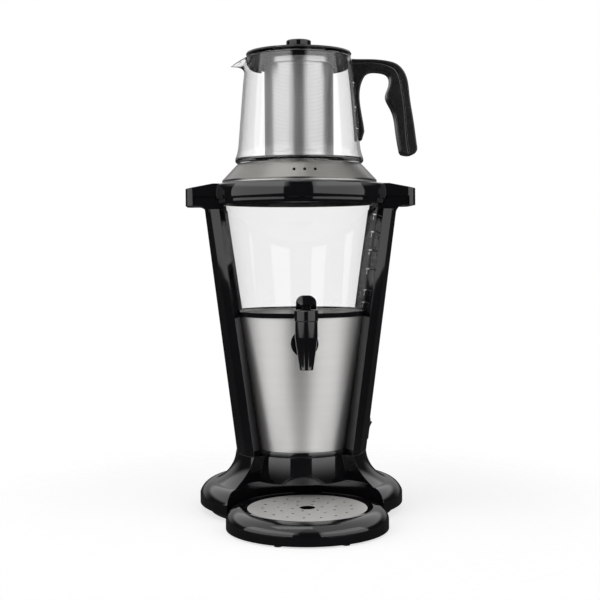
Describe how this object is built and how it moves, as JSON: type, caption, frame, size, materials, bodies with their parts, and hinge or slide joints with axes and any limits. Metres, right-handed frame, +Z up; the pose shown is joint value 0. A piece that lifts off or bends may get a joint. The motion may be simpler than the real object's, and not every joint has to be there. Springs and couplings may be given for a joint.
{
  "type": "automatic tea maker",
  "caption": "Electric tea maker: tapered glass and steel water tank between two columns, front tap over a drip tray, and a glass teapot with an infuser on a steam lid.",
  "frame": {"origin": "on the tower's axis, in the plane of the table that the foot ring stands on", "axes": "+Z up along the tower, -Y towards the tap and drip tray, +X to the teapot's handle"},
  "size_m": [0.2298, 0.2739, 0.4655],
  "materials": {
    "black_gloss": "polished black moulding",
    "black_satin": "fine textured black moulding",
    "brushed_steel": "brushed stainless steel",
    "clear_glass": "clear borosilicate glass",
    "silicone": "pale silicone seal",
    "foot_rubber": "black rubber",
    "screw_steel": "zinc plated steel",
    "terminal_plastic": "cream moulding",
    "element_metal": "plain metal"
  },
  "bodies": {
    "root": {"base_shell": "black_gloss", "bottom_cover": "black_satin", "foot_ring": "foot_rubber", "bottom_screws": "screw_steel", "column_screws": "screw_steel", "cord_gland": "black_satin", "terminal_block": "terminal_plastic", "left_column": "black_gloss", "right_column": "black_gloss", "arm_screws": "screw_steel", "switch_frame": "black_satin", "body_ring": "black_gloss", "steel_body": "brushed_steel", "tank_seal": "silicone", "glass_tank": "clear_glass", "trim_ring": "black_gloss", "rim_seal": "silicone", "heater_plate": "brushed_steel", "heating_element": "element_metal", "thermostat": "element_metal", "thermal_fuse": "element_metal", "collar": "black_gloss", "tap_body": "black_gloss", "tap_outer_seal": "silicone", "tap_inner_seal": "silicone", "tap_nut": "black_satin", "tap_cap": "black_gloss", "lever_pin": "screw_steel", "switch_pin": "screw_steel"},
    "rocker": {"rocker": "black_gloss"},
    "steam_lid": {"steam_lid": "brushed_steel", "steam_pan": "brushed_steel", "lid_seal": "silicone"},
    "teapot": {"pot_glass": "clear_glass", "pot_handle": "black_gloss", "handle_cover": "black_gloss"},
    "infuser": {"infuser_basket": "brushed_steel", "infuser_hanger": "black_gloss"},
    "pot_lid": {"pot_lid": "black_gloss", "lid_knob": "black_gloss", "knob_screw": "screw_steel"},
    "tap_lever": {"tap_lever": "black_gloss"},
    "valve": {"valve_plug": "silicone"},
    "drip_tray": {"drip_tray": "black_gloss", "tray_feet": "foot_rubber"},
    "drip_grid": {"drip_grid": "brushed_steel"}
  },
  "joints": [
    {"name": "steam_lid_lift", "type": "slide", "parent": "root", "child": "steam_lid", "axis": [0, 0, 1], "range_m": [0, 0.08]},
    {"name": "teapot_lift", "type": "slide", "parent": "steam_lid", "child": "teapot", "axis": [0, 0, 1], "range_m": [0, 0.12]},
    {"name": "infuser_lift", "type": "slide", "parent": "teapot", "child": "infuser", "axis": [0, 0, 1], "range_m": [0, 0.115]},
    {"name": "pot_lid_lift", "type": "slide", "parent": "infuser", "child": "pot_lid", "axis": [0, 0, 1], "range_m": [0, 0.05]},
    {"name": "lever_tilt", "type": "hinge", "parent": "root", "child": "tap_lever", "pos_m": [0, -0.095, 0.196], "axis": [1, 0, 0], "range_deg": [0, 40], "stiffness_Nm_per_rad": 0.06, "springref_deg": -8.59},
    {"name": "valve_lift", "type": "slide", "parent": "root", "child": "valve", "axis": [0, 0, 1], "range_m": [0, 0.0035]},
    {"name": "tray_slide", "type": "slide", "parent": "root", "child": "drip_tray", "axis": [0, -1, 0], "range_m": [0, 0.09]},
    {"name": "grid_lift", "type": "slide", "parent": "drip_tray", "child": "drip_grid", "axis": [0, 0, 1], "range_m": [0, 0.005]},
    {"name": "rocker_tip", "type": "hinge", "parent": "root", "child": "rocker", "pos_m": [0.06663, 0, 0.078], "axis": [0, 1, 0], "range_deg": [-16, 0]}
  ],
  "couplings": [
    {"joint": "valve_lift", "follows": "lever_tilt", "m_per_rad": 0.0042}
  ]
}
